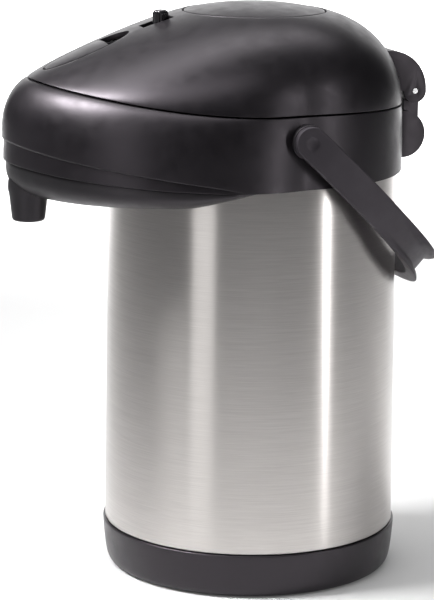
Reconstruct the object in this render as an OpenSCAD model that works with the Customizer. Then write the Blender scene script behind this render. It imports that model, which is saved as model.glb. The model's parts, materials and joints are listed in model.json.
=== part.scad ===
/* [Flask body] */
// Radius of the steel body at its foot
body_foot_r = 80.4; // [78:0.2:82]
// Radius of the steel body under the collar
body_top_r = 78.8; // [78:0.2:79.4]
// Height at which the base cover ends and the steel begins
base_seam_z = 25; // [20:1:30]
// Inner radius of the flask's mouth
mouth_r = 38; // [34:1:40]

/* [Collar and beak] */
// Height of the collar's lower edge at the side
collar_foot_z = 222.5; // [220:0.5:226]
// Radius of the collar where it is round
collar_r = 81; // [80.5:0.1:83]
// Height of the seam between collar and lid at the side
seam_side_z = 261.3; // [260:0.1:263]
// Reach of the seam's nose in front of the axis
nose_reach = 126; // [120:1:130]
// How far the beak bulges out below the seam's nose
nose_bulge = 14.3; // [12:0.1:16]
// Wall thickness of the moulded shells
wall = 2.6; // [2:0.1:3]

/* [Lid and pump] */
// Height of the lid's top at the button's edge
lid_top_z = 308.2; // [305:0.1:309]
// Radius of the push button
button_r = 38.5; // [38:0.5:42]
// Height of the push button's crown
crown_z = 312.5; // [310:0.5:314]

/* [Spout] */
// Distance of the nozzle's axis in front of the body's axis
nozzle_reach = 127; // [124:0.5:129]
// Height of the nozzle's outlet
nozzle_foot_z = 198.7; // [196:0.1:203]

/* [Handle] */
// Height of the handle's pivot axis
pivot_z = 248.3; // [246:0.1:250]
// Angle below level at which the handle rests behind the body
rest_angle = 43; // [40:1:46]
// Half the distance between the middles of the two arms
bail_half_w = 89.5; // [88.5:0.5:93]
// Distance from the pivot axis to the middle of the grip
bail_reach = 120.5; // [120:0.5:128]
// Width of the arms
arm_w = 17.4; // [15:0.2:19]

/* [Hidden] */
$fn = 96;

charcoal = "#343338";
dark = "#232226";
steel = "#c9c8c4";
rubber = "#1b1b1c";
milky = "#d8d8d4";

ring_sides = 96;        // points round each lofted ring
seam_gap = 0.4;         // half the dark gap between collar and lid
rear_drop = 3.5;        // how far the seam falls towards the hinge
nose_rise = 13.2;       // how far the seam rises towards the nose
bore_r = button_r + 0.8; // opening in the lid for the button
hinge_y = 91;
hinge_z = 262;
hinge_half_w = 12;
knuckle_r = 6.7;
pin_r = 1.5;
latch_y = -113;         // latch pivot
latch_z = 276.5;
latch_pin_r = 1.2;
latch_edge_y = -85.5;   // straight edge where a finger lifts the latch
oval_y = -95;            // oval opening that holds the latch plate and the finger recess
oval_half_l = 23.3;
oval_half_w = 11;
lock_y = -53.5;
lock_z = 292.6;         // underside of the lock's slider
tube_y = -31;
deck_z = 261.5;         // sealing land of the mouth frame
plate_z = 262.9;        // underside of the lid's base plate
post_x = 56;            // lid screw posts
post_y = 39;
post_r = 3.6;

// --- shape of the head -------------------------------------------------

// 1 at the nose, falling steadily to 0 at the sides, for an angle from the front
function nose(a) =
    let (u = min(abs(a), 360 - abs(a)) / 90, x = 1 - (sqrt(u * u + 0.0036) - 0.06) / 0.93)
    (x + sqrt(x * x + 0.0016)) / 2;
function mix(a, b, k) = a + (b - a) * k;
function clamp01(x) = max(0, min(1, x));
function smooth(x) = let (k = clamp01(x)) k * k * (3 - 2 * k);
function polar(r, a, z) = [r * sin(a), -r * cos(a), z];

// Plan outline of the seam and its height
function seam_r(a) = collar_r + (nose_reach - collar_r) * nose(a);
function height_of_seam(y) = y < 0
    ? seam_side_z + nose_rise * pow(y / nose_reach, 2)
    : seam_side_z - rear_drop * pow(y / collar_r, 2);
function seam_z(a) = height_of_seam(-seam_r(a) * cos(a));

// Outside of the collar at a drop below the seam
function swell(drop) = pow(1 - pow(1 - min(drop, 26) / 26, 2), 0.68);
function collar_out_r(a, drop) =
    seam_r(a) + (0.8 + (nose_bulge - 0.8) * pow(nose(a), 0.8)) * swell(drop);
function collar_low_z(a) = collar_foot_z + 8.5 * pow(nose(a), 1.6);
function band_h(a) = 0.2 + 12 * pow(clamp01((nose(a) - 0.25) / 0.75), 0.7);

// Outside of the lid: k is 0 at the rim and 1 at the button's opening
function dome(t, a) =
    let (w = pow((1 + cos(a)) / 2, 3))
    pow(max(0, 1 - pow(t, mix(3.1, 1.3, w))), mix(0.5, 0.86, w));
function lid_z(r, a) =
    let (rim = seam_r(a))
    seam_z(a) + seam_gap + (lid_top_z - seam_z(a) - seam_gap) * dome(r / rim, a) / dome(bore_r / rim, a);

// --- solids from rings -------------------------------------------------

// Closed ring-shaped solid from a loop of rings, all with the same number of points
module ring_loft(rings) {
    n = len(rings[0]);
    m = len(rings);
    polyhedron(
        points = [for (ring = rings) each ring],
        faces = [for (i = [0:m - 1], j = [0:n - 1], half = [0, 1])
            let (i2 = (i + 1) % m, j2 = (j + 1) % n)
            half == 0
                ? [i * n + j, i * n + j2, i2 * n + j2]
                : [i * n + j, i2 * n + j2, i2 * n + j]],
        convexity = 8);
}

// Closed bar from a row of sections, capped at both ends
module bar_loft(sections) {
    n = len(sections[0]);
    m = len(sections);
    polyhedron(
        points = [for (s = sections) each s],
        faces = concat(
            [[for (j = [n - 1:-1:0]) j]],
            [[for (j = [0:n - 1]) (m - 1) * n + j]],
            [for (i = [0:m - 2], j = [0:n - 1], half = [0, 1])
                let (j2 = (j + 1) % n)
                half == 0
                    ? [i * n + j, i * n + j2, (i + 1) * n + j2]
                    : [i * n + j, (i + 1) * n + j2, (i + 1) * n + j]]),
        convexity = 8);
}

// Round wire wound on the Z axis
module coil(r, wire_r, height, turns) {
    steps = round(turns * 16);
    bar_loft([for (i = [0:steps])
        let (a = i * 360 * turns / steps)
        [for (b = [0:60:300]) [
            (r + wire_r * cos(b)) * cos(a),
            (r + wire_r * cos(b)) * sin(a),
            wire_r + (height - 2 * wire_r) * i / steps + wire_r * sin(b)]]]);
}

module ring(r_out, r_in, z0, z1) {
    translate([0, 0, z0]) difference() {
        cylinder(r = r_out, h = z1 - z0);
        translate([0, 0, -1]) cylinder(r = r_in, h = z1 - z0 + 2);
    }
}

module at_corners(x, y) {
    for (sx = [-1, 1], sy = [-1, 1]) translate([sx * x, sy * y, 0]) children();
}

// --- base --------------------------------------------------------------

pad_r = 66;
floor_z = 0.4;

module at_base_screws() {
    for (a = [30, 150, 270]) rotate(a) translate([52, 0, 0]) children();
}

module foot_pad() {
    color(rubber) cylinder(r = pad_r, h = 1.8);
}

module base_cover() {
    color(charcoal) difference() {
        union() {
            rotate_extrude() polygon([[0, floor_z], [76.2, floor_z], [77.9, 1.3], [79.1, 3.2], [79.9, 6.5],
                [80.9, 14], [81.6, base_seam_z - 0.6], [78.4, base_seam_z - 0.6], [77.6, 8], [76.4, 3.4],
                [0, 3.4]]);
            at_base_screws() translate([0, 0, 3]) cylinder(r = 6, h = 2.4);
        }
        translate([0, 0, -1]) cylinder(r = pad_r + 0.2, h = 2.8);
        at_base_screws() {
            cylinder(r = 2.1, h = 10);
            cylinder(r = 3.8, h = 3.6);
        }
    }
}

module base_screws() {
    color(steel) at_base_screws() difference() {
        union() {
            translate([0, 0, 1.9]) cylinder(r = 3.6, h = 1.6);
            translate([0, 0, 3.4]) cylinder(r = 1.8, h = 12);
        }
        translate([0, 0, 1.8]) cylinder(r = 1.4, h = 1, $fn = 6);
    }
}

// Moulded ring that carries the flask above the base cover
module flask_support() {
    color(dark) difference() {
        rotate_extrude() polygon([[44, 5.6], [72, 5.6], [72, base_seam_z + 1.4], [69, base_seam_z + 1.4],
            [69, 9], [60, 9], [60, 20], [44, 20]]);
        at_base_screws() translate([0, 0, 4]) cylinder(r = 1.85, h = 13);
    }
}

// --- vacuum flask ------------------------------------------------------

neck_z = 247;
rim_z = 254;

module outer_flask() {
    color(steel) rotate_extrude() polygon([[0, base_seam_z + 1.5], [body_foot_r - 1.6, base_seam_z + 1.5],
        [body_foot_r - 1.6, base_seam_z - 0.2], [body_foot_r, base_seam_z - 0.2], [body_top_r, 228],
        [76, 234], [64, 240.5], [mouth_r + 5, neck_z], [mouth_r + 5, rim_z - 1], [mouth_r + 4, rim_z - 1],
        [mouth_r + 4, neck_z - 0.8], [63.5, 239.4], [75.4, 233], [body_top_r - 1, 227.5],
        [body_foot_r - 1, base_seam_z + 2.5], [0, base_seam_z + 2.5]]);
}

module inner_flask() {
    color(steel) rotate_extrude() polygon([[0, 33], [58, 34], [68, 38], [73, 48], [73, 222], [71, 228],
        [62, 234.5], [mouth_r + 1, 242], [mouth_r + 1, rim_z - 1], [mouth_r + 5, rim_z - 1],
        [mouth_r + 5, rim_z], [mouth_r, rim_z], [mouth_r, 241.4], [61.5, 233.6], [70.2, 227.4],
        [72.2, 221.8], [72.2, 48.2], [67.4, 38.7], [57.8, 34.8], [0, 33.8]]);
}

module mouth_gasket() {
    color(rubber) ring(mouth_r + 6, mouth_r + 0.5, rim_z, rim_z + 1.5);
}

// Frame that holds the flask by its mouth and carries the sealing land for the lid
module mouth_frame() {
    color(dark) difference() {
        rotate_extrude() polygon([[mouth_r + 1, rim_z + 1.5], [mouth_r + 7, rim_z + 1.5], [mouth_r + 7, 250],
            [mouth_r + 9.5, 250], [mouth_r + 10.5, 257.5], [57, 257.5], [60, 253.5], [collar_r - 2.8, 250.5],
            [collar_r - 2.8, 253], [62, 256], [57.5, deck_z], [50, deck_z], [46, 258], [mouth_r + 1, 257.5]]);
        translate([-7.1, -82, 249]) cube([14.2, 56, 20]);
        for (a = [45:90:315]) rotate(a) translate([72, 0, 240]) cylinder(r = 1.8, h = 30);
    }
}

module frame_screws() {
    color(steel) for (a = [45:90:315]) rotate(a) translate([72, 0, 242]) {
        cylinder(r = 1.6, h = 15);
        translate([0, 0, 13.2]) cylinder(r = 3.2, h = 2);
    }
}

// --- collar and beak ---------------------------------------------------

// Drops below the seam for the rows of the collar's outside, as shares of its height
collar_rows = [0, 0.02, 0.06, 0.12, 0.2, 0.32, 0.46, 0.62, 0.8, 1];
angles = [for (i = [0:ring_sides - 1]) i * 360 / ring_sides];

function collar_ring(share, inset) = [for (a = angles)
    let (top = seam_z(a) - seam_gap, low = collar_low_z(a) + band_h(a), z = mix(top, low, share))
    polar(collar_out_r(a, seam_z(a) - z) - inset, a, z)];
function band_ring(share, inset) = [for (a = angles)
    let (z = collar_low_z(a) + band_h(a) * (0.9 - 0.9 * share))
    polar(collar_out_r(a, seam_z(a) - z) - inset - 0.9 * smooth(4 * nose(a) - 0.8) * (1 - share * 0.3), a, z)];

module collar_solid() {
    ring_loft(concat(
        [for (k = collar_rows) collar_ring(k, 0)],
        [band_ring(0, 0), band_ring(1, 0), band_ring(1, wall)],
        [for (i = [len(collar_rows) - 1:-2:1]) collar_ring(collar_rows[i], wall)],
        [collar_ring(0, wall)]));
}

module collar_shell() {
    color(charcoal) collar_solid();
}

under_rows = [0, 12, 25, 40, 56, 72, 90];
under_z = 209;          // lowest level of the bowl at the nose
under_rise = 9;         // how far its level rises towards the sides

under_end = 76;         // the bowl ends this far round from the nose
under_t = 2.4;
function under_out_r(a) =
    mix(body_top_r + 1.6, collar_out_r(a, 40) - 0.4 - 1.6 * nose(a), smooth((nose(a) - 0.08) / 0.22));
function under_point(a, b, inner) =
    let (out = under_out_r(a) - (inner ? under_t : 0), in = body_top_r + 0.5, top = collar_low_z(a) - 0.3,
        deep = (top - under_z - under_rise * (1 - nose(a))) * smooth((nose(a) - 0.1) / 0.38))
    polar(mix(in, max(out, in + 0.3), pow(max(cos(b), 0), 0.6)), a,
        top - (deep - (inner ? 2 : 0)) * pow(sin(b), 0.6));
function under_section(a) = concat(
    [for (b = under_rows) under_point(a, b, false)],
    [for (i = [len(under_rows) - 1:-1:0]) under_point(a, under_rows[i], true)]);

// Bowl that closes the beak from below, with two drain holes and the nozzle's seat
module beak_underside() {
    color(dark) resize([0, 0, 0]) difference() {
        bar_loft([for (i = [0:60]) under_section(under_end - 2 * under_end * i / 60)]);
        translate([0, -nozzle_reach, 190]) cylinder(r = 10.7, h = 32);
        for (side = [-1, 1]) translate([side * 20, -102.6, 200]) cylinder(r = 3.2, h = 20, $fn = 32);
    }
}

module spout_nozzle() {
    color(dark) translate([0, -nozzle_reach, nozzle_foot_z]) difference() {
        rotate_extrude() polygon([[0, 0], [7.9, 0], [8.6, 0.8], [10.4, 14.3], [10.4, 23.3], [0, 23.3]]);
        translate([0, 0, -1]) cylinder(r = 4.6, h = 16);
        translate([0, 0, 14]) cylinder(r = 4.05, h = 11);
    }
}

// Points of the pipe's centreline in the middle plane, from the siphon head to the nozzle
pipe_path = [[-62, 258.4], [-70, 258.4], [-74, 257.6], [-78, 256], [-120, 241], [-124.5, 238.4],
    [-nozzle_reach + 0.5, 234.4], [-nozzle_reach, 230], [-nozzle_reach, 215]];
function pipe_along(i) =
    let (last = len(pipe_path) - 1, d = pipe_path[min(i + 1, last)] - pipe_path[max(i - 1, 0)])
    d / norm(d);
function pipe_ring(i, r) =
    let (d = pipe_along(i), p = pipe_path[i])
    [for (t = [0:15:345]) [r * cos(t), p[0] - d[1] * r * sin(t), p[1] + d[0] * r * sin(t)]];

module spout_pipe() {
    last = len(pipe_path) - 1;
    color(milky) ring_loft(concat(
        [for (i = [0:last]) pipe_ring(i, 4)],
        [for (i = [last:-1:0]) pipe_ring(i, 2.7)]));
}

module pipe_seal() {
    color(rubber) translate([0, -nozzle_reach, nozzle_foot_z + 23.3]) ring(6.4, 4, 0, 1.8);
}

// --- siphon ------------------------------------------------------------

module siphon_head() {
    color(dark) difference() {
        union() {
            translate([-7, -62, 255.6]) cube([14, 36, 5.7]);
            translate([0, tube_y, 236]) cylinder(r = 6.2, h = 21);
        }
        translate([0, -70, 258.4]) rotate([-90, 0, 0]) cylinder(r = 2.2, h = 40);
        translate([0, tube_y, 235]) cylinder(r = 4.02, h = 9);
        translate([0, tube_y, 243]) cylinder(r = 2.6, h = 3);
        translate([0, tube_y, 245]) cylinder(r = 4.4, h = 12);
    }
}

module dip_tube() {
    color(milky) translate([0, tube_y, 0]) difference() {
        ring(4, 3, 42, 243.9);
        translate([-6, 0, 38]) rotate([35, 0, 0]) cube([12, 20, 6]);
    }
}

// Ball that closes the siphon when the pot tips over
module valve_ball() {
    color(steel) translate([0, tube_y, 248.9]) sphere(r = 3.4);
}

// --- fittings on the collar --------------------------------------------

// Boss and stud that carry one arm of the handle
module pivot_boss(side) {
    color(charcoal) translate([side * (collar_r - 2), 0, pivot_z]) rotate([0, side * 90, 0]) {
        cylinder(r = 9.1, h = bail_half_w - 2.3 - collar_r + 2);
        cylinder(r = 4, h = bail_half_w + 0.6 - collar_r + 2);
    }
}
module pivot_boss_right() { pivot_boss(1); }
module pivot_boss_left() { pivot_boss(-1); }

// Half-round lobe behind the collar with the middle knuckle of the hinge
module hinge_bracket() {
    color(charcoal) difference() {
        union() {
            intersection() {
                translate([-hinge_half_w, 84.5, 238]) rotate([0, 90, 0]) cylinder(r = 13, h = 2 * hinge_half_w);
                translate([-20, 81.8, 220]) cube([40, 30, 31]);
            }
            translate([-5.6, hinge_y, hinge_z]) rotate([0, 90, 0]) cylinder(r = 5.6, h = 11.2);
            translate([-5.6, hinge_y - 4, 246]) cube([11.2, 9, 14]);
        }
        translate([-20, hinge_y, hinge_z]) rotate([0, 90, 0]) cylinder(r = pin_r + 0.05, h = 40);
    }
}

module hinge_pin() {
    color(steel) translate([-hinge_half_w - 0.4, hinge_y, hinge_z]) rotate([0, 90, 0])
        cylinder(r = pin_r, h = 2 * hinge_half_w + 0.8);
}

module latch_striker() {
    color(dark) translate([-8, -131.5, 265.8]) cube([16, 8, 2.6]);
}

// --- lid ---------------------------------------------------------------

lid_rows = [0, 0.012, 0.03, 0.06, 0.1, 0.17, 0.27, 0.4, 0.58, 0.78, 1];

function lid_ring(k, thick) = [for (a = angles)
    let (rim = seam_r(a), r = mix(rim, bore_r, k))
    polar(mix(rim - thick, bore_r, k), a, lid_z(r, a) - thick * k / (k + 0.1))];

module lid_skin(thick_out, thick_in) {
    ring_loft(concat(
        [for (i = [len(lid_rows) - 1:-1:0]) lid_ring(lid_rows[i], thick_out)],
        [for (k = lid_rows) lid_ring(k, thick_in)]));
}

// Outline of the latch opening, grown by an amount
module oval(grow) {
    polygon([for (t = [0:6:354])
        [(oval_half_w + grow) * cos(t), oval_y + (oval_half_l + grow) * sin(t)]]);
}

module lid_shell() {
    color(charcoal) resize([0, 0, 0]) difference() {
        union() {
            lid_skin(0, wall);
            for (sx = [-1, 1], sy = [-1, 1]) {
                top = lid_z(norm([post_x, post_y]) + post_r, atan2(post_x, -sy * post_y)) - 0.8;
                translate([sx * post_x, sy * post_y, 265.6]) cylinder(r = post_r, h = top - 265.6, $fn = 24);
            }
            for (side = [-1, 1]) translate([side * 9.6 - 1, latch_y - 2.5, latch_z - 2.2])
                cube([2, 4, 4.8]);
        }
        at_corners(post_x, post_y) translate([0, 0, 264]) cylinder(r = 1.9, h = 14, $fn = 24);
        translate([-12, latch_y, latch_z]) rotate([0, 90, 0]) cylinder(r = latch_pin_r + 0.05, h = 24, $fn = 24);
        translate([0, 0, 255]) linear_extrude(60) oval(0.35);
        translate([-4.6, -64.6, 290]) cube([9.2, 17.2, 30]);
    }
}

module lid_base() {
    color(dark) difference() {
        union() {
            ring(77, 12, plate_z, plate_z + 2.4);
            ring(fold_r - 2, fold_r - 4, plate_z, plate_z + 6);
            ring(16, 12, plate_z - 3, plate_z + 2.4);
        }
        at_corners(post_x, post_y) translate([0, 0, 255]) cylinder(r = 1.9, h = 20);
    }
}

module lid_gasket() {
    color(rubber) ring(57, 50.5, deck_z + 0.1, plate_z);
}

module lid_screws() {
    color(steel) at_corners(post_x, post_y) translate([0, 0, plate_z - 1.8]) {
        cylinder(r = 1.5, h = 14);
        cylinder(r = 3.2, h = 1.8);
    }
}

// Lobe behind the lid with the two outer knuckles of the hinge
module hinge_cover() {
    color(charcoal) difference() {
        translate([-hinge_half_w, 0, 0]) rotate([90, 0, 90]) linear_extrude(2 * hinge_half_w) union() {
            translate([hinge_y, hinge_z]) circle(r = knuckle_r);
            difference() {
                union() {
                    translate([76, 263]) circle(r = 21.7);
                    polygon([[78, 257], [hinge_y, hinge_z - knuckle_r], [hinge_y, hinge_z], [78, 270]]);
                    polygon([[80, 262], [hinge_y + knuckle_r, hinge_z], [hinge_y + 5.3, 268], [80, 275]]);
                }
                translate([40, 230]) square([60, 32]);
            }
        }
        translate([-6, 83.2, 240]) cube([12, 30, 29.5]);
        translate([0, 0, 240]) cylinder(r = 82.6, h = 30);
        translate([0, 0, 269.9]) cylinder(r1 = 82, r2 = 72, h = 21);
        translate([-20, hinge_y, hinge_z]) rotate([0, 90, 0]) cylinder(r = pin_r + 0.05, h = 40);
    }
}

module button_guide() {
    color(dark) ring(bore_r + 2.2, bore_r - 0.2, plate_z + 2.4, 303.2);
}

// Pleated pump bellows
pleats = 5;
fold_r = button_r - 6;
bellows_low_z = plate_z + 4.4;
bellows_top_z = 294;

module bellows() {
    pitch = (bellows_top_z - bellows_low_z) / pleats;
    color(rubber) rotate_extrude() polygon(concat(
        [for (i = [0:pleats - 1]) each [
            [fold_r, bellows_low_z + pitch * i],
            [fold_r + 3.4, bellows_low_z + pitch * (i + 0.5)]]],
        [[fold_r, bellows_top_z], [fold_r - 1.2, bellows_top_z]],
        [for (i = [pleats - 1:-1:0]) each [
            [fold_r + 2.2, bellows_low_z + pitch * (i + 0.5)],
            [fold_r - 1.2, bellows_low_z + pitch * i]]]));
}

module bellows_clamp() {
    color(dark) ring(fold_r + 2, fold_r - 1.8, plate_z + 2.4, bellows_low_z);
}

module return_spring() {
    color(steel) translate([0, 0, plate_z + 2.4]) coil(20, 1, bellows_top_z - plate_z - 2.4, 6);
}

module air_valve() {
    color(rubber) translate([0, 0, plate_z]) {
        cylinder(r = 12, h = 1.4);
        cylinder(r = 3, h = 5);
    }
}

// Tray under the rear of the oval opening, where a finger reaches the latch
module latch_pocket() {
    color(dark) difference() {
        translate([0, 0, 284.5]) linear_extrude(14) intersection() {
            oval(-0.3);
            translate([-20, latch_edge_y + 0.8]) square([40, 30]);
        }
        translate([0, 0, 286]) linear_extrude(20) intersection() {
            oval(-1.8);
            translate([-20, latch_edge_y - 5]) square([40, 40]);
        }
        translate([-20, latch_edge_y, 289.9]) rotate([19, 0, 0]) cube([40, 60, 30]);
    }
}

module latch_pin() {
    color(steel) translate([-10.4, latch_y, latch_z]) rotate([0, 90, 0])
        cylinder(r = latch_pin_r, h = 20.8);
}

module latch_spring() {
    color(steel) translate([2.8, latch_y, latch_z]) rotate([0, 90, 0]) coil(1.75, 0.28, 4, 5);
}

// Channel on the button guide in which the lock slides
module lock_guide() {
    color(dark) difference() {
        union() {
            translate([-9.5, -72, lock_z - 2.2]) cube([19, 32, 3.6]);
            translate([-9.5, -54, lock_z - 2.2]) cube([19, 14, 8.6]);
        }
        translate([-8, -73, lock_z - 0.2]) cube([16, 40, 12]);
        translate([0, 0, 280]) cylinder(r = bore_r + 2.25, h = 40);
    }
}

// --- pump --------------------------------------------------------------

module push_button() {
    color(charcoal) rotate_extrude() difference() {
        union() {
            polygon([[0, 294], [button_r, 294], [button_r, lid_top_z - 0.5], [button_r - 0.6, lid_top_z],
                [0, lid_top_z]]);
            crown_r = (pow(button_r - 0.6, 2) + pow(crown_z - lid_top_z, 2)) / (2 * (crown_z - lid_top_z));
            intersection() {
                translate([0, crown_z - crown_r]) circle(r = crown_r, $fn = 360);
                translate([0, lid_top_z - 0.1]) square([button_r - 0.6, 10]);
            }
        }
        polygon([[0, 290], [button_r - 2, 290], [button_r - 2, lid_top_z - 2.5], [0, lid_top_z - 1.5]]);
    }
}

module plunger() {
    color(dark) difference() {
        union() {
            translate([0, 0, bellows_top_z]) cylinder(r = button_r - 3, h = 2);
            ring(12, 9, bellows_top_z + 2, 305.4);
            for (a = [0:60:300]) rotate(a) translate([11, -1, bellows_top_z + 2]) cube([20, 2, 8]);
        }
        cylinder(r = 3, h = 400);
    }
}

// --- lock --------------------------------------------------------------

module lock_knob() {
    color(rubber) translate([0, lock_y, lock_z + 3.4]) rotate_extrude()
        polygon([[0, 0], [4.3, 0], [4.3, 12.4], [3.9, 13.2], [2.8, 13.7], [0, 13.9]]);
}

module lock_slider() {
    color(dark) translate([-7.6, lock_y - 6, lock_z]) cube([15.2, 11, 3.4]);
}

// --- latch -------------------------------------------------------------

module latch_plate() {
    color(charcoal) resize([0, 0, 0]) intersection() {
        lid_skin(0, wall);
        translate([0, 0, 255]) linear_extrude(60) difference() {
            oval(-0.3);
            translate([-20, latch_edge_y]) square([40, 40]);
            translate([-20, oval_y - oval_half_l - 19.3]) square([40, 20]);
        }
    }
}

module latch_hook() {
    color(dark) difference() {
        union() {
            translate([-2.4, latch_y - 2.6, latch_z - 3]) cube([4.8, 9, 6.6]);
            translate([-2.4, latch_y - 5.5, 262.6]) cube([4.8, 5, 12]);
            translate([-2.4, latch_y - 9.9, 262.6]) cube([4.8, 5, 2.6]);
        }
        translate([-10, latch_y, latch_z]) rotate([0, 90, 0]) cylinder(r = latch_pin_r + 0.05, h = 20);
    }
}

// --- handle ------------------------------------------------------------

bail_power = 2.4;
arm_t = 4;

// Point of the bail at an angle round it, in its own plane: across, and out from the pivots
function bail_at(b) = [
    bail_half_w * sign(cos(b)) * pow(abs(cos(b)), 2 / bail_power),
    bail_reach * pow(max(sin(b), 0), 2 / bail_power)];
function bail_out(b) =
    let (p = bail_at(b), x = p[0] / bail_half_w, y = p[1] / bail_reach,
        n = [sign(x) * pow(abs(x), 2) / bail_half_w, pow(y, 2) / bail_reach])
    n / norm(n);
// The flat arm turns into a channel whose two lips point outwards
function bail_section(b) =
    let (p = bail_at(b), n = bail_out(b), w = arm_w / 2, h = arm_t / 2,
        lip = 4.6 * smooth((p[1] / bail_reach - 0.55) / 0.35), e = 2.4,
        outline = [[-w, -h + 0.6], [-w + 0.6, -h], [w - 0.6, -h], [w, -h + 0.6], [w, h - 0.6 + lip],
            [w - 0.6, h + lip], [w - e, h + lip * 0.55], [w - e - 1.6, h - lip * 0.1],
            [-w + e + 1.6, h - lip * 0.1], [-w + e, h + lip * 0.55], [-w + 0.6, h + lip], [-w, h - 0.6 + lip]])
    [for (q = outline) [p[0] + n[0] * q[1], p[1] + n[1] * q[1], -q[0]]];
bail_steps = [for (i = [0:56]) let (k = i / 56) 6 + 168 * k];

module handle_bail() {
    color(charcoal) translate([0, 0, pivot_z]) rotate([-rest_angle, 0, 0]) difference() {
        union() {
            bar_loft([for (b = bail_steps) bail_section(b)]);
            for (side = [-1, 1]) {
                translate([side * bail_half_w - arm_t / 2, 0, 0]) rotate([0, 90, 0]) cylinder(r = arm_w / 2, h = arm_t);
                translate([side * bail_half_w - arm_t / 2, 0, -arm_w / 2]) cube([arm_t, 40, arm_w]);
            }
        }
        for (side = [-1, 1]) translate([side * (bail_half_w - 1), 0, 0]) rotate([0, 90, 0])
            cylinder(r = 4.05, h = 3.6, center = true);
    }
}

foot_pad();
base_cover();
base_screws();
flask_support();
outer_flask();
inner_flask();
mouth_gasket();
mouth_frame();
frame_screws();
collar_shell();
beak_underside();
spout_nozzle();
spout_pipe();
pipe_seal();
siphon_head();
dip_tube();
valve_ball();
pivot_boss_right();
pivot_boss_left();
hinge_bracket();
hinge_pin();
latch_striker();
lid_shell();
lid_base();
lid_gasket();
lid_screws();
hinge_cover();
button_guide();
bellows();
bellows_clamp();
return_spring();
air_valve();
latch_pocket();
latch_pin();
latch_spring();
lock_guide();
push_button();
plunger();
lock_knob();
lock_slider();
latch_plate();
latch_hook();
handle_bail();
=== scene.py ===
"""Looks of the thermal airpot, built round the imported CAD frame. Lengths in the shape code are millimetres."""

import json
import math

import bmesh
import bpy
from mathutils import Matrix, Vector


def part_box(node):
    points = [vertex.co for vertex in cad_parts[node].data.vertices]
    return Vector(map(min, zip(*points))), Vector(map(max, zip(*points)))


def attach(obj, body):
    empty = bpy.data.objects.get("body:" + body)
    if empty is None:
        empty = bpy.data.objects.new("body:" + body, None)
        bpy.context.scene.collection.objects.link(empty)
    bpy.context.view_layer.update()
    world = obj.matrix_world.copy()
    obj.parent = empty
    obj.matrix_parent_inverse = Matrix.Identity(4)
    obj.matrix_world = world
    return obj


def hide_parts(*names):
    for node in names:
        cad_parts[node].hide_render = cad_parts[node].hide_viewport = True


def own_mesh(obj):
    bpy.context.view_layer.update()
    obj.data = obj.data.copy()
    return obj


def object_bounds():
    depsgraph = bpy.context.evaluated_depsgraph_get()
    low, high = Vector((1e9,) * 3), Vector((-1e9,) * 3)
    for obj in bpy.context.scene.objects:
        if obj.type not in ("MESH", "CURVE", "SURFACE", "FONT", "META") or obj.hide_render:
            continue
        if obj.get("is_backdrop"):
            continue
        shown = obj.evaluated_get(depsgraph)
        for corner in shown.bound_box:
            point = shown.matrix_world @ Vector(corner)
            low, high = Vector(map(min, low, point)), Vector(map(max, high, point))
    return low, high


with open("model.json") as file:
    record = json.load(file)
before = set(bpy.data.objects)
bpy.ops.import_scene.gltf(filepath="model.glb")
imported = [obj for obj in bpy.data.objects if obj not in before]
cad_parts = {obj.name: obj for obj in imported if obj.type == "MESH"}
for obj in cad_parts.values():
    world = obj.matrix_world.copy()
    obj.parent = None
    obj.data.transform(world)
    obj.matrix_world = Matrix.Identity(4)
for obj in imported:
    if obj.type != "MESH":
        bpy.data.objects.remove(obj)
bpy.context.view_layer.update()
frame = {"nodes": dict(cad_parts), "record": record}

MM = 0.001


# --- mesh helpers ---------------------------------------------------------------------------

def sin(a):
    return math.sin(math.radians(a))


def cos(a):
    return math.cos(math.radians(a))


def mix(a, b, k):
    return a + (b - a) * k


def clamp01(x):
    return max(0.0, min(1.0, x))


def smooth(x):
    k = clamp01(x)
    return k * k * (3 - 2 * k)


def node_mm(node):
    """Lowest and highest corner of a CAD node, in millimetres."""
    low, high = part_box(node)
    return low / MM, high / MM


def soften(points, radii, steps=4):
    """Rounds the corners of a closed 2-D outline; radii gives a radius for the index of each corner."""
    result = []
    count = len(points)
    for i, p in enumerate(points):
        if i not in radii:
            result.append(p)
            continue
        here = Vector(p)
        before = Vector(points[i - 1]) - here
        after = Vector(points[(i + 1) % count]) - here
        reach_a = min(radii[i], before.length * 0.48)
        reach_b = min(radii[i], after.length * 0.48)
        start = here + before.normalized() * reach_a
        end = here + after.normalized() * reach_b
        for s in range(steps + 1):
            t = s / steps
            result.append(tuple(start * (1 - t) ** 2 + here * 2 * t * (1 - t) + end * t * t))
    return result


def new_object(name, points, faces, merge=True):
    """A mesh object from millimetre points, with outward normals."""
    mesh = bpy.data.meshes.new(name)
    mesh.from_pydata([Vector(p) * MM for p in points], [], faces)
    bm = bmesh.new()
    bm.from_mesh(mesh)
    if merge:
        bmesh.ops.remove_doubles(bm, verts=bm.verts, dist=2e-6)
    bmesh.ops.recalc_face_normals(bm, faces=bm.faces)
    bm.to_mesh(mesh)
    bm.free()
    piece = bpy.data.objects.new(name, mesh)
    bpy.context.scene.collection.objects.link(piece)
    return piece


def shade(piece, angle=38):
    for face in piece.data.polygons:
        face.use_smooth = True
    piece.data.set_sharp_from_angle(angle=math.radians(angle))


def apply_modifiers(piece):
    bpy.context.view_layer.update()
    graph = bpy.context.evaluated_depsgraph_get()
    mesh = bpy.data.meshes.new_from_object(piece.evaluated_get(graph))
    piece.modifiers.clear()
    piece.data = mesh


def cut(piece, tool, operation="DIFFERENCE"):
    modifier = piece.modifiers.new("cut", "BOOLEAN")
    modifier.operation = operation
    modifier.solver = "EXACT"
    modifier.object = tool
    apply_modifiers(piece)
    bpy.data.objects.remove(tool)


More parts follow.
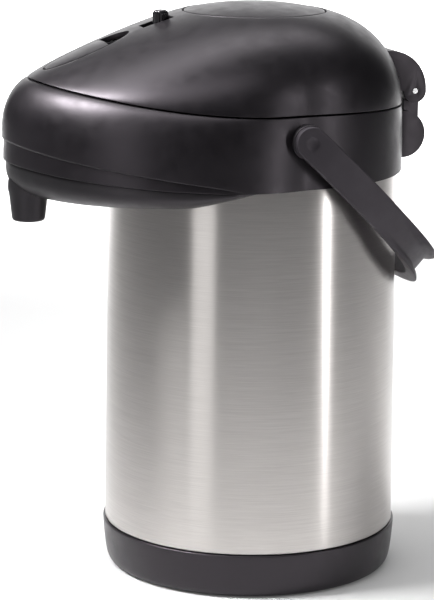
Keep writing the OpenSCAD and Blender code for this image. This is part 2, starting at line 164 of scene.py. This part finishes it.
def round_edges(piece, width, segments=3, angle=42):
    modifier = piece.modifiers.new("edges", "BEVEL")
    modifier.width = width * MM
    modifier.segments = segments
    modifier.limit_method = "ANGLE"
    modifier.angle_limit = math.radians(angle)
    modifier.use_clamp_overlap = True
    apply_modifiers(piece)


def place(piece, body, slot, material, *nodes, angle=38):
    """Finishes a piece: shading, material, the body it rides on and the CAD nodes it stands for."""
    shade(piece, angle)
    piece.data.materials.clear()
    piece.data.materials.append(material)
    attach(piece, body)
    if nodes:
        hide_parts(*nodes)
    return piece


def loop_faces(rows, count, closed):
    faces = []
    for i in range(rows if closed else rows - 1):
        for j in range(count):
            k = (i + 1) % rows
            m = (j + 1) % count
            faces.append((i * count + j, i * count + m, k * count + m, k * count + j))
    return faces


def loft_loop(name, sections):
    """Closed solid from sections that go all the way round."""
    count = len(sections[0])
    points = [p for section in sections for p in section]
    return new_object(name, points, loop_faces(len(sections), count, True))


def loft_bar(name, sections):
    """Solid bar from sections, closed at both ends."""
    count = len(sections[0])
    points = [p for section in sections for p in section]
    faces = loop_faces(len(sections), count, False)
    faces.append(tuple(range(count)))
    faces.append(tuple((len(sections) - 1) * count + j for j in range(count)))
    return new_object(name, points, faces)


def revolve(name, profile, centre=(0, 0), sides=192):
    """Solid of revolution from a closed outline of radius and height."""
    sections = []
    for i in range(sides):
        a = 360 * i / sides
        sections.append([(centre[0] + r * sin(a), centre[1] - r * cos(a), z) for r, z in profile])
    return loft_loop(name, sections)


def prism(name, outline, low, high):
    count = len(outline)
    points = [(x, y, low) for x, y in outline] + [(x, y, high) for x, y in outline]
    faces = [tuple(range(count)), tuple(range(count, 2 * count))]
    faces += [(i, (i + 1) % count, count + (i + 1) % count, count + i) for i in range(count)]
    return new_object(name, points, faces)


def block(name, low, high):
    return prism(name, [(low[0], low[1]), (high[0], low[1]), (high[0], high[1]), (low[0], high[1])],
                 low[2], high[2])


def soft_copy(node, name, width):
    """Copy of a CAD node's shape with its edges rounded."""
    bm = bmesh.new()
    bm.from_mesh(frame["nodes"][node].data)
    bmesh.ops.remove_doubles(bm, verts=bm.verts, dist=2e-6)
    bmesh.ops.dissolve_limit(bm, angle_limit=math.radians(0.6), verts=bm.verts, edges=bm.edges)
    points = [tuple(v.co / MM) for v in bm.verts]
    bm.verts.index_update()
    faces = [tuple(v.index for v in f.verts) for f in bm.faces]
    bm.free()
    piece = new_object(name, points, faces, merge=False)
    if width:
        round_edges(piece, width)
    return piece


# --- materials ------------------------------------------------------------------------------

GRAIN_DEPTH = 0.00003    # metres
BRUSH_DEPTH = 0.000003
BRUSHING = (45, 45, 2600)   # streaks in a metre across, across and up


def node_of(tree, kind, **values):
    n = tree.nodes.new(kind)
    for key, value in values.items():
        if hasattr(n, key):
            setattr(n, key, value)
        else:
            n.inputs[key.replace("_", " ")].default_value = value
    return n


def stretched_noise(tree, scale, detail, stretch=(1, 1, 1)):
    """Noise over the object's own coordinates; scale counts features in a metre."""
    where = node_of(tree, "ShaderNodeTexCoord")
    mapping = node_of(tree, "ShaderNodeMapping")
    mapping.inputs["Scale"].default_value = [scale * s for s in stretch]
    tree.links.new(where.outputs["Object"], mapping.inputs["Vector"])
    noise = node_of(tree, "ShaderNodeTexNoise", Scale=1.0, Detail=detail, Roughness=0.6)
    tree.links.new(mapping.outputs["Vector"], noise.inputs["Vector"])
    return noise.outputs["Fac"]


def spread(tree, value, low, high):
    """Stretches the middle of a noise value over a range."""
    ranged = node_of(tree, "ShaderNodeMapRange")
    ranged.inputs["From Min"].default_value = 0.3
    ranged.inputs["From Max"].default_value = 0.7
    ranged.inputs["To Min"].default_value = low
    ranged.inputs["To Max"].default_value = high
    tree.links.new(value, ranged.inputs["Value"])
    return ranged.outputs["Result"]


def two_colours(tree, value, first, second):
    m = node_of(tree, "ShaderNodeMix", data_type="RGBA")
    tree.links.new(value, m.inputs["Factor"])
    for socket in m.inputs:
        if socket.type == "RGBA":
            socket.default_value = (*first, 1) if socket.name == "A" else (*second, 1)
    return [s for s in m.outputs if s.type == "RGBA"][0]


def start_material(name):
    material = bpy.data.materials.new(name)
    material.use_nodes = True
    tree = material.node_tree
    return material, tree, tree.nodes["Principled BSDF"]


def bump(tree, shader, height, distance, strength):
    b = node_of(tree, "ShaderNodeBump", Strength=strength, Distance=distance)
    tree.links.new(height, b.inputs["Height"])
    tree.links.new(b.outputs["Normal"], shader.inputs["Normal"])


def plastic(name, dark, light, rough, grain=1400, strength=0.3, coat=0.0):
    """Moulded plastic: fine spark-eroded grain, slight cloudiness and uneven gloss."""
    material, tree, shader = start_material(name)
    cloud = stretched_noise(tree, 28, 4)
    colour = two_colours(tree, spread(tree, cloud, 0, 1), dark, light)
    tree.links.new(colour, shader.inputs["Base Color"])
    fine = stretched_noise(tree, grain, 3)
    gloss = stretched_noise(tree, 120, 5)
    tree.links.new(spread(tree, gloss, rough * 0.86, rough * 1.14), shader.inputs["Roughness"])
    bump(tree, shader, fine, GRAIN_DEPTH, strength)
    shader.inputs["Specular Tint"].default_value = (1.0, 0.9, 1.0, 1)
    shader.inputs["Coat Weight"].default_value = coat
    shader.inputs["Coat Roughness"].default_value = 0.12
    return material


def brushed(name, dark, light, rough):
    """Stainless steel brushed round the axis."""
    material, tree, shader = start_material(name)
    shader.inputs["Metallic"].default_value = 1
    lines = stretched_noise(tree, 1, 2, BRUSHING)
    broad = stretched_noise(tree, 1, 2, (BRUSHING[0], BRUSHING[1], BRUSHING[2] * 0.5))
    tree.links.new(two_colours(tree, spread(tree, lines, 0, 1), dark, light), shader.inputs["Base Color"])
    tree.links.new(spread(tree, broad, rough * 0.98, rough * 1.02), shader.inputs["Roughness"])
    tangent = node_of(tree, "ShaderNodeTangent", direction_type="RADIAL", axis="Z")
    tree.links.new(tangent.outputs["Tangent"], shader.inputs["Tangent"])
    shader.inputs["Anisotropic"].default_value = 0.88
    shader.inputs["Anisotropic Rotation"].default_value = 0.25
    bump(tree, shader, lines, BRUSH_DEPTH, 0.04)
    return material


def metal(name, colour, rough):
    material, tree, shader = start_material(name)
    shader.inputs["Metallic"].default_value = 1
    marks = stretched_noise(tree, 300, 5)
    low = tuple(c * 0.88 for c in colour)
    tree.links.new(two_colours(tree, spread(tree, marks, 0, 1), low, colour), shader.inputs["Base Color"])
    tree.links.new(spread(tree, marks, rough * 0.8, rough * 1.25), shader.inputs["Roughness"])
    bump(tree, shader, marks, 0.00001, 0.2)
    return material


def milky(name):
    material, tree, shader = start_material(name)
    cloud = stretched_noise(tree, 60, 3)
    colour = two_colours(tree, spread(tree, cloud, 0, 1), (0.70, 0.70, 0.66), (0.82, 0.82, 0.79))
    tree.links.new(colour, shader.inputs["Base Color"])
    tree.links.new(spread(tree, cloud, 0.24, 0.36), shader.inputs["Roughness"])
    shader.inputs["Transmission Weight"].default_value = 0.35
    shader.inputs["IOR"].default_value = 1.45
    return material


charcoal = plastic("charcoal_plastic", (0.007, 0.0062, 0.0072), (0.011, 0.0098, 0.0115), 0.37, grain=1100,
                   strength=0.55)
seat_black = plastic("seat_plastic", (0.016, 0.015, 0.017), (0.022, 0.020, 0.023), 0.46)
dark = plastic("dark_plastic", (0.009, 0.009, 0.0095), (0.013, 0.013, 0.0135), 0.42)
grip = plastic("handle_plastic", (0.024, 0.021, 0.025), (0.031, 0.028, 0.033), 0.55, grain=1000, strength=0.45)
steel = brushed("brushed_steel", (0.535, 0.508, 0.492), (0.612, 0.585, 0.566), 0.28)
bright = metal("plain_steel", (0.64, 0.64, 0.64), 0.24)
rubber = plastic("rubber", (0.012, 0.012, 0.012), (0.022, 0.022, 0.022), 0.72, grain=900, strength=0.5)
gloss = plastic("gloss_black", (0.006, 0.006, 0.007), (0.010, 0.010, 0.011), 0.16, coat=0.6, strength=0.08)
tube = milky("milky_plastic")

by_slot = {"charcoal_plastic": charcoal, "dark_plastic": dark, "handle_plastic": grip, "brushed_steel": steel,
           "plain_steel": bright, "rubber": rubber, "gloss_black": gloss, "milky_plastic": tube}
for part in frame["record"]["subparts"]:
    item = frame["nodes"][part["node"]]
    item.data.materials.clear()
    item.data.materials.append(by_slot[part["material_slot"]])


# --- shape of the head, as in the CAD source, in millimetres ---------------------------------

cover_low, cover_high = node_mm("base_cover")
button_low, button_high = node_mm("push_button")
nozzle_low, nozzle_high = node_mm("spout_nozzle")

BASE_SEAM = cover_high.z + 0.6
COLLAR_R, NOSE, BULGE, WALL = 81.0, 126.0, 14.3, 2.6
COLLAR_FOOT, SEAM_SIDE, NOSE_RISE, REAR_DROP, GAP = 222.5, 261.3, 13.2, 3.5, 0.4
LID_TOP, BUTTON_R, CROWN = 308.2, button_high.x, button_high.z
BORE = BUTTON_R + 0.8
BODY_FOOT, BODY_TOP, MOUTH = 80.4, 78.8, 38.0
OVAL_Y, OVAL_HALF_L, OVAL_HALF_W = -95.0, 23.3, 11.0   # latch opening in the lid
LATCH_EDGE, LATCH_FRONT = -85.5, -117.6                # ends of the latch plate
LOCK_SLOT = ((-4.6, -64.6, 288), (4.6, -47.4, 320))    # low and high corner
DRAIN_X, DRAIN_Y, DRAIN_R = 20, -102.6, 3.2
NOZZLE_HOLE_R = 10.7
UNDER_LOW, UNDER_RISE, UNDER_END = 209, 9, 76          # bowl: lowest level, its rise, its end in degrees


def nose(a):
    u = min(abs(a), 360 - abs(a)) / 90
    x = 1 - (math.sqrt(u * u + 0.0036) - 0.06) / 0.93
    return (x + math.sqrt(x * x + 0.0016)) / 2


def polar(r, a, z):
    return (r * sin(a), -r * cos(a), z)


def seam_r(a):
    return COLLAR_R + (NOSE - COLLAR_R) * nose(a)


def seam_z(a):
    y = -seam_r(a) * cos(a)
    if y < 0:
        return SEAM_SIDE + NOSE_RISE * (y / NOSE) ** 2
    return SEAM_SIDE - REAR_DROP * (y / COLLAR_R) ** 2


def collar_out_r(a, drop):
    swell = (1 - (1 - min(max(drop, 0), 26) / 26) ** 2) ** 0.68
    return seam_r(a) + (0.8 + (BULGE - 0.8) * nose(a) ** 0.8) * swell


def collar_low_z(a):
    return COLLAR_FOOT + 8.5 * nose(a) ** 1.6


def band_h(a):
    return 0.2 + 12 * clamp01((nose(a) - 0.25) / 0.75) ** 0.7


def dome(t, a):
    w = ((1 + cos(a)) / 2) ** 3
    return max(0, 1 - t ** mix(3.1, 1.3, w)) ** mix(0.5, 0.86, w)


def lid_z(r, a):
    rim = seam_r(a)
    low = seam_z(a) + GAP
    return low + (LID_TOP - low) * dome(r / rim, a) / dome(BORE / rim, a)


ROUND = [360 * i / 288 for i in range(288)]


# --- lid and latch plate --------------------------------------------------------------------

def lid_section(a):
    shares = [0, 0.004, 0.01, 0.02, 0.035, 0.055, 0.08, 0.11, 0.15, 0.2, 0.26, 0.33, 0.41, 0.5, 0.6, 0.7, 0.8,
              0.9, 0.97, 1]
    rim = seam_r(a)
    outer = [(mix(rim, BORE, k), lid_z(mix(rim, BORE, k), a)) for k in reversed(shares)]
    inner = [(mix(rim - WALL, BORE, k), lid_z(mix(rim, BORE, k), a) - WALL * k / (k + 0.1)) for k in shares]
    outline = outer + inner
    softened = soften(outline, {0: 0.9, len(outer) - 1: 0.5, len(outer): 0.3})
    return [polar(r, a, z) for r, z in softened]


def oval(grow):
    """Outline of the latch opening, grown by an amount."""
    return [((OVAL_HALF_W + grow) * cos(3 * i), OVAL_Y + (OVAL_HALF_L + grow) * sin(3 * i)) for i in range(120)]


def circle(x, y, radius, count):
    return [(x + radius * cos(360 / count * i), y + radius * sin(360 / count * i)) for i in range(count)]


lid = loft_loop("lid_skin", [lid_section(a) for a in ROUND])
plate = lid.copy()
plate.data = lid.data.copy()
plate.name = "latch_leaf"
bpy.context.scene.collection.objects.link(plate)

cut(lid, prism("tool", oval(0.35), 255, 315))
cut(lid, block("tool", *LOCK_SLOT))
round_edges(lid, 0.35)
place(lid, "lid", "charcoal_plastic", charcoal, "lid_shell")

cut(plate, prism("tool", oval(-0.3), 255, 315), "INTERSECT")
cut(plate, block("tool", (-20, LATCH_EDGE, 250), (20, -60, 320)))
cut(plate, block("tool", (-20, -130, 250), (20, LATCH_FRONT, 320)))
round_edges(plate, 0.5)
place(plate, "latch", "charcoal_plastic", charcoal, "latch_plate")


# --- collar and beak ------------------------------------------------------------------------

def collar_section(a):
    top = seam_z(a) - GAP
    low = collar_low_z(a) + band_h(a)
    rows = [0, 0.01, 0.025, 0.05, 0.08, 0.12, 0.17, 0.23, 0.3, 0.38, 0.47, 0.57, 0.68, 0.8, 0.9, 1]
    outer = [(collar_out_r(a, seam_z(a) - mix(top, low, k)), mix(top, low, k)) for k in rows]
    step = 0.9 * smooth(4 * nose(a) - 0.8)
    band = []
    for k in (0, 0.35, 0.7, 1):
        z = collar_low_z(a) + band_h(a) * 0.9 * (1 - k)
        band.append((collar_out_r(a, seam_z(a) - z) - step * (1 - 0.3 * k), z))
    inner = [(r - WALL, z) for r, z in reversed(outer)]
    foot = (band[-1][0] - WALL, band[-1][1])
    outline = outer + band + [foot] + inner
    last = len(outer) - 1
    softened = soften(outline, {0: 0.6, last: 0.35, last + 4: 0.5, len(outline) - 1: 0.3})
    return [polar(r, a, z) for r, z in softened]


collar = loft_loop("collar_skin", [collar_section(a) for a in ROUND])
place(collar, "root", "charcoal_plastic", charcoal, "collar_shell", angle=30)


def under_out_r(a):
    return mix(BODY_TOP + 1.6, collar_out_r(a, 40) - 0.4 - 1.6 * nose(a), smooth((nose(a) - 0.08) / 0.22))


def under_point(a, b, inner):
    out = under_out_r(a) - (2.4 if inner else 0)
    near = BODY_TOP + 0.5
    top = collar_low_z(a) - 0.3
    deep = (top - UNDER_LOW - UNDER_RISE * (1 - nose(a))) * smooth((nose(a) - 0.1) / 0.38)
    r = mix(near, max(out, near + 0.3), max(cos(b), 0) ** 0.6)
    return polar(r, a, top - (deep - (2 if inner else 0)) * max(sin(b), 0) ** 0.6)


def under_section(a):
    rows = [0, 2, 5, 9, 14, 20, 28, 37, 47, 57, 67, 77, 85, 90]
    return [under_point(a, b, False) for b in rows] + [under_point(a, b, True) for b in reversed(rows)]


bowl = loft_bar("beak_bowl", [under_section(UNDER_END - 2 * UNDER_END * i / 150) for i in range(151)])
nozzle_y = (nozzle_low.y + nozzle_high.y) / 2
cut(bowl, prism("tool", circle(0, nozzle_y, NOZZLE_HOLE_R, 48), 190, 222))
for x in (-DRAIN_X, DRAIN_X):
    cut(bowl, prism("tool", circle(x, DRAIN_Y, DRAIN_R, 24), 200, 220))
round_edges(bowl, 0.4, angle=50)
place(bowl, "root", "dark_plastic", dark, "beak_underside", angle=45)

foot_z = nozzle_low.z
nozzle_profile = [(4.6, foot_z), (8.2, foot_z), (8.9, foot_z + 1.2), (10.4, foot_z + 14.3), (11.3, foot_z + 18),
                  (10.6, foot_z + 23.3), (4.05, foot_z + 23.3), (4.05, foot_z + 14), (4.6, foot_z + 14)]
nozzle = revolve("nozzle_body", soften(nozzle_profile, {0: 0.4, 1: 0.9, 2: 0.8, 3: 3.0, 4: 2}, 5), (0, nozzle_y),
                 96)
place(nozzle, "root", "dark_plastic", dark, "spout_nozzle")


# --- flask and base -------------------------------------------------------------------------

wall_profile = [(0, BASE_SEAM + 1.5), (BODY_FOOT - 1.6, BASE_SEAM + 1.5), (BODY_FOOT - 1.6, BASE_SEAM - 0.2),
                (BODY_FOOT, BASE_SEAM - 0.2)]
wall_profile += [(mix(BODY_FOOT, BODY_TOP, k / 12), mix(BASE_SEAM - 0.2, 228, k / 12)) for k in range(1, 13)]
wall_profile += [(76, 234), (64, 240.5), (MOUTH + 5, 247), (MOUTH + 5, 253), (MOUTH + 4, 253),
                 (MOUTH + 4, 246.2), (63.5, 239.4), (75.4, 233), (BODY_TOP - 1, 227.5),
                 (BODY_FOOT - 1, BASE_SEAM + 2.5), (0, BASE_SEAM + 2.5)]
wall = revolve("flask_wall", soften(wall_profile, {3: 0.7, 15: 3, 16: 5, 17: 5, 18: 2}), sides=256)
place(wall, "root", "brushed_steel", steel, "outer_flask")

top = cover_high.z
base_profile = [(66.2, 0.4), (76.2, 0.4), (77.9, 1.3), (79.1, 3.2), (79.9, 6.5), (80.9, 14), (cover_high.x, top),
                (78.4, top), (77.6, 8), (76.4, 3.4), (0, 3.4), (0, 1.8), (66.2, 1.8)]
base = revolve("base_shell", soften(base_profile, {1: 1.2, 2: 1, 3: 1.6, 4: 3, 5: 5, 6: 0.8, 7: 0.4}), sides=256)
for turn in (30, 150, 270):
    cut(base, prism("tool", circle(52 * cos(turn), 52 * sin(turn), 3.8, 30), -1, 6))
place(base, "root", "charcoal_plastic", charcoal, "base_cover")

pad_profile = [(0, 0.0), (54, 0.0), (55, 0.5), (58, 0.5), (59, 0.0), (65, 0.0), (66, 1.0), (66, 1.8), (0, 1.8)]
pad = revolve("foot_pad_ribbed", soften(pad_profile, {1: .3, 2: .3, 3: .3, 4: .3, 5: .5}), sides=160)
place(pad, "root", "rubber", rubber, "foot_pad")


# --- button and lock knob -------------------------------------------------------------------

crown_r = ((BUTTON_R - 0.6) ** 2 + (CROWN - LID_TOP) ** 2) / (2 * (CROWN - LID_TOP))
crown_steps = [(BUTTON_R - 0.6) * k / 20 for k in range(21)]
crown = [(r, CROWN - crown_r + math.sqrt(crown_r ** 2 - r * r)) for r in crown_steps]
cap_profile = crown + [(BUTTON_R, LID_TOP - 0.5), (BUTTON_R, 294), (BUTTON_R - 2, 294),
                       (BUTTON_R - 2, LID_TOP - 2.5), (0, LID_TOP - 1.5)]
cap = revolve("button_cap", soften(cap_profile, {20: 0.6, 21: 0.4}), sides=192)
place(cap, "pump", "charcoal_plastic", charcoal, "push_button")

knob_low, knob_high = node_mm("lock_knob")
knob_y = (knob_low.y + knob_high.y) / 2
knob_sections = []
for i in range(144):
    a = 2.5 * i
    rib = 0.16 * cos(a * 18)
    z = knob_low.z
    side = knob_high.x - 0.16
    outline = [(0, z), (side, z), (side + rib, z + 0.4), (side + rib, z + 11.6), (side - 0.5 + rib * 0.5, z + 13),
               (side - 1.6, z + 13.7), (side - 2.4, z + 13.6), (0, knob_high.z)]
    outline = soften(outline, {3: 0.8, 4: 0.6, 5: 0.4, 6: 0.4})
    knob_sections.append([(r * sin(a), knob_y - r * cos(a), h) for r, h in outline])
knob = loft_loop("knob_ribbed", knob_sections)
place(knob, "lock", "gloss_black", gloss, "lock_knob", angle=50)


# --- bellows and return spring, which shorten under the button in the real pot but keep their built shape here ---

PLEAT_DEPTH, PLEATS, BELLOWS_WALL = 3.4, 5, 1.2


def press(piece):
    """Gives a piece its own copy of its mesh; it does not shorten the piece."""
    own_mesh(piece)


bellows_low, bellows_high = node_mm("bellows")
crease = bellows_high.x - PLEAT_DEPTH
half_pleat = (bellows_high.z - 0.05 - bellows_low.z) / (2 * PLEATS)
folds = [(crease + PLEAT_DEPTH * (i % 2), bellows_low.z + half_pleat * i) for i in range(2 * PLEATS + 1)]
folds += [(r - BELLOWS_WALL, z) for r, z in reversed(folds)]
bellows = revolve("bellows_folds", soften(folds, {i: 0.7 for i in range(22) if i % 11 not in (0, 10)}), sides=128)
place(bellows, "lid", "rubber", rubber, "bellows")
press(bellows)

spring = soft_copy("return_spring", "spring_coil", 0)
place(spring, "lid", "plain_steel", bright, "return_spring", angle=80)
press(spring)


# --- handle ---------------------------------------------------------------------------------

HALF_W, REACH, ARM_W, ARM_T, POWER, PIVOT, REST = 89.5, 120.5, 17.4, 4.0, 2.4, 248.3, 43.0
BOSS_R, STUD_R, BOSS_END = 9.1, 4.0, 87.2   # boss and stud that carry an arm


def bail_at(b):
    x = math.copysign(abs(cos(b)) ** (2 / POWER), cos(b))
    return HALF_W * x, REACH * max(sin(b), 0) ** (2 / POWER)


def bail_section(across, out, normal, half):
    w, h, e = half, ARM_T / 2, 2.4
    lip = 4.6 * smooth((out / REACH - 0.55) / 0.35)
    outline = [(-w, -h), (w, -h), (w, h + lip), (w - e, h + lip * 0.55), (w - e - 1.6, h - lip * 0.1),
               (-w + e + 1.6, h - lip * 0.1), (-w + e, h + lip * 0.55), (-w, h + lip)]
    if half < e + 2:
        outline = [(-w, -h), (w, -h), (w, h), (w * 0.6, h), (w * 0.3, h), (-w * 0.3, h), (-w * 0.6, h), (-w, h)]
    edge = min(1.1, w * 0.4)
    outline = soften(outline, {0: edge, 1: edge, 2: edge, 3: 0.8, 4: 1.2, 5: 1.2, 6: 0.8, 7: edge})
    return [(across + normal[0] * q[1], out + normal[1] * q[1], -q[0]) for q in outline]


def bail_run():
    sections = []
    tips = [-ARM_W / 2 * cos(6 * i) for i in range(1, 16)]
    ends = [(y, math.sqrt(max((ARM_W / 2) ** 2 - y * y, 0.2))) for y in tips]
    ends += [(y, ARM_W / 2) for y in (0, 4, 8, 12, 15)]
    for y, half in ends:
        sections.append(bail_section(HALF_W, y, (1, 0), half))
    for i in range(141):
        b = 6 + 168 * i / 140
        x, y = bail_at(b)
        n = Vector((math.copysign(abs(x / HALF_W) ** 2 / HALF_W, x), (y / REACH) ** 2 / REACH)).normalized()
        sections.append(bail_section(x, y, n, ARM_W / 2))
    for y, half in reversed(ends):
        sections.append(bail_section(-HALF_W, y, (-1, 0), half))
    return sections


def onto_pivot(piece, side):
    """Turns a piece made on the Z axis onto the handle's pivot axis, to the right or the left."""
    piece.data.transform(Matrix.Rotation(math.radians(90 * side), 4, "Y"))
    piece.data.transform(Matrix.Translation((0, 0, PIVOT * MM)))
    return piece


def tilt(p):
    """From the bail's own plane to its resting place."""
    return (p[0], p[1] * cos(REST) + p[2] * sin(REST), PIVOT - p[1] * sin(REST) + p[2] * cos(REST))


bail = loft_bar("bail_grip", [[tilt(p) for p in s] for s in bail_run()])
for side in (-1, 1):
    cut(bail, onto_pivot(prism("tool", circle(0, 0, STUD_R + 0.05, 24), 86.0, 90.3), side))
    dish = revolve("tool", [(0, 90.9), (1.6, 90.98), (3.0, 91.25), (4.2, 91.8), (4.2, 93), (0, 93)], sides=48)
    cut(bail, onto_pivot(dish, side))
place(bail, "handle", "handle_plastic", grip, "handle_bail")


# --- hinge and bosses -----------------------------------------------------------------------

place(soft_copy("hinge_cover", "hinge_lobe_upper", 0.8), "lid", "charcoal_plastic", charcoal, "hinge_cover")
place(soft_copy("hinge_bracket", "hinge_lobe_lower", 0.8), "root", "charcoal_plastic", charcoal, "hinge_bracket")
for side, node in ((1, "pivot_boss_right"), (-1, "pivot_boss_left")):
    low, high = node_mm(node)
    near = min(abs(low.x), abs(high.x))
    far = max(abs(low.x), abs(high.x))
    outline = [(0, near), (BOSS_R, near), (BOSS_R, BOSS_END), (STUD_R, BOSS_END), (STUD_R, far), (0, far)]
    boss = revolve("pivot_seat_" + ("right" if side > 0 else "left"),
                   soften(outline, {2: 0.7, 4: 0.4}), sides=96)
    place(onto_pivot(boss, side), "root", "charcoal_plastic", seat_black, node)


# --- floor, light and camera ----------------------------------------------------------------

def floor():
    mesh = bpy.data.meshes.new("floor")
    mesh.from_pydata([(-14, -14, 0), (14, -14, 0), (14, 14, 0), (-14, 14, 0)], [], [(0, 1, 2, 3)])
    ground = bpy.data.objects.new("floor", mesh)
    bpy.context.scene.collection.objects.link(ground)
    material, tree, shader = start_material("floor_paper")
    soft = stretched_noise(tree, 3, 2)
    tree.links.new(two_colours(tree, soft, (0.66, 0.66, 0.66), (0.69, 0.69, 0.69)), shader.inputs["Base Color"])
    shader.inputs["Roughness"].default_value = 0.9
    shader.inputs["Emission Color"].default_value = (1, 1, 1, 1)
    shader.inputs["Emission Strength"].default_value = 0.06
    mesh.materials.append(material)
    ground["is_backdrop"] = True


VIEW = 20.0              # degrees from the side of the pot round to its front
CAMERA_REACH, CAMERA_Z = 1.440, 0.4651   # metres
PITCH, ROLL = 11.0, 0.71
FOCAL, AXIS_X, AXIS_Y = 2657, 251.5, 231.8   # for a picture 434 wide and 600 high


def panel(name, turn, distance, height, width, tall, power, target, cone=180):
    """Soft box at a turn from the camera's side of the object: positive is to the camera's right."""
    light = bpy.data.lights.new(name, "AREA")
    light.shape = "RECTANGLE"
    light.size = width
    light.size_y = tall
    light.energy = power
    light.spread = math.radians(cone)
    lamp = bpy.data.objects.new(name, light)
    a = turn - VIEW
    lamp.location = (distance * cos(a), distance * sin(a), height)
    lamp.rotation_euler = (Vector(target) - lamp.location).to_track_quat("-Z", "Y").to_euler()
    lamp.visible_camera = False
    bpy.context.scene.collection.objects.link(lamp)


def camera():
    data = bpy.data.cameras.new("camera")
    cam = bpy.data.objects.new("camera", data)
    bpy.context.scene.collection.objects.link(cam)
    data.sensor_width = 36
    data.lens = FOCAL * data.sensor_width / 600
    data.clip_start = 0.05
    data.clip_end = 60
    data.shift_x = -(AXIS_X - 217) / 600
    data.shift_y = (AXIS_Y - 300) / 600
    forward = Vector((-cos(VIEW) * cos(PITCH), sin(VIEW) * cos(PITCH), -sin(PITCH)))
    right = forward.cross(Vector((0, 0, 1))).normalized()
    up = right.cross(forward)
    right, up = right * cos(ROLL) + up * sin(ROLL), up * cos(ROLL) - right * sin(ROLL)
    turn = Matrix((right, up, -forward)).transposed().to_4x4()
    place_at = Vector((CAMERA_REACH * cos(VIEW), -CAMERA_REACH * sin(VIEW), CAMERA_Z))
    cam.matrix_world = Matrix.Translation(place_at) @ turn
    bpy.context.scene.camera = cam


floor()
panel("key_left", -35, 0.5, 0.25, 0.16, 0.5, 0.28, target=(0, 0, 0.14))
panel("left_high", -80, 0.9, 1.3, 0.6, 0.5, 3.4, target=(0, 0, 0.3), cone=45)
panel("strip_right", 57.5, 0.5, 0.25, 0.03, 0.5, 0.5, target=(0, 0, 0.12))
panel("top", -175, 0.7, 1.25, 1.2, 1.2, 8.0, target=(-0.85, 0.2, 0), cone=100)
panel("front", -5, 0.34, 0.42, 0.42, 0.34, 0.42, target=(0.31, -0.14, 0), cone=85)
panel("rear", 180, 2.2, 0.75, 2.6, 1.3, 17, target=(0, 0, 0.3))
panel("backdrop", 180, 1.2, 1.9, 1.6, 1.2, 170, target=(-3.2 * cos(VIEW), 3.2 * sin(VIEW), 0), cone=110)
world = bpy.data.worlds.new("studio")
world.use_nodes = True
world.node_tree.nodes["Background"].inputs["Color"].default_value = (0.92, 0.94, 1.0, 1)
world.node_tree.nodes["Background"].inputs["Strength"].default_value = 0.05
bpy.context.scene.world = world
bpy.context.scene.view_settings.view_transform = "Standard"
camera()

low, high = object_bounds()
